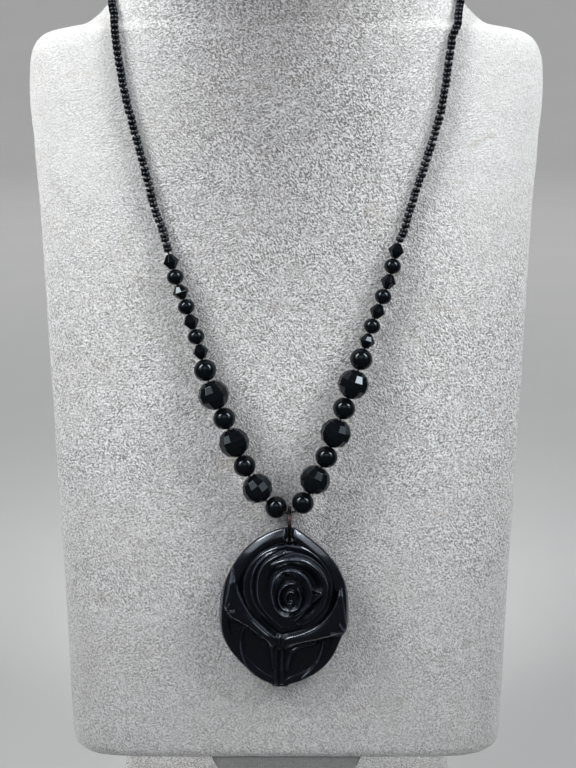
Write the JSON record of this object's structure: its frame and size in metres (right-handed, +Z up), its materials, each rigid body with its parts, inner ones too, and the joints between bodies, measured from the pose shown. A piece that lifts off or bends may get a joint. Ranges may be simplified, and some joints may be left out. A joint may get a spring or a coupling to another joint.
{
  "type": "onyx pendant necklace on a neck bust",
  "caption": "Black bead necklace with a carved rose pendant hung on a small ring, worn by a plush-covered flat neck bust on a stem and base plate.",
  "frame": {"origin": "middle of the base plate's underside, which stands on the table", "axes": "+Z up, the chest and the pendant face -Y, +X to the viewer's right in the front view"},
  "size_m": [0.1398, 0.092, 0.3103],
  "materials": {
    "bust_plush": "short plush, mottled nap",
    "stem_cover": "smooth matte cover",
    "base_cover": "short plush",
    "thread": "waxed black thread",
    "seed_glass": "glossy opaque black glass",
    "onyx_round": "polished opaque black stone",
    "onyx_faceted": "faceted, polished opaque black stone",
    "onyx_bicone": "faceted glossy opaque black glass",
    "onyx_carved": "carved and polished opaque black stone",
    "gunmetal": "dark plated wire with a copper glint"
  },
  "bodies": {
    "bust_and_string": {"neck_bust": "bust_plush", "bust_stem": "stem_cover", "base_plate": "base_cover", "thread": "thread", "seed_string_left": "seed_glass", "seed_string_right": "seed_glass", "clasp": "gunmetal", "round_bead_left_1": "onyx_round", "round_bead_left_2": "onyx_round", "round_bead_left_3": "onyx_round", "round_bead_left_4": "onyx_round", "round_bead_right_1": "onyx_round", "round_bead_right_2": "onyx_round", "round_bead_right_3": "onyx_round", "round_bead_right_4": "onyx_round", "small_bead_left_1": "onyx_round", "small_bead_left_2": "onyx_round", "small_bead_left_3": "onyx_round", "small_bead_right_1": "onyx_round", "small_bead_right_2": "onyx_round", "small_bead_right_3": "onyx_round", "faceted_bead_left_1": "onyx_faceted", "faceted_bead_left_2": "onyx_faceted", "faceted_bead_left_3": "onyx_faceted", "faceted_bead_right_1": "onyx_faceted", "faceted_bead_right_2": "onyx_faceted", "faceted_bead_right_3": "onyx_faceted", "bicone_bead_left_1": "onyx_bicone", "bicone_bead_left_2": "onyx_bicone", "bicone_bead_left_3": "onyx_bicone", "bicone_bead_left_4": "onyx_bicone", "bicone_bead_right_1": "onyx_bicone", "bicone_bead_right_2": "onyx_bicone", "bicone_bead_right_3": "onyx_bicone", "bicone_bead_right_4": "onyx_bicone"},
    "ring": {"pendant_ring": "gunmetal"},
    "drop": {"pendant": "onyx_carved"}
  },
  "joints": [
    {"name": "ring_swing", "type": "hinge", "parent": "bust_and_string", "child": "ring", "pos_m": [0.0009, -0.0324, 0.12612], "axis": [-1, 0, 0], "range_deg": [0, 75]},
    {"name": "pendant_swing", "type": "hinge", "parent": "ring", "child": "drop", "pos_m": [0.0009, -0.03289, 0.11818], "axis": [0, -0.9981, 0.061], "range_deg": [-10, 10]}
  ]
}
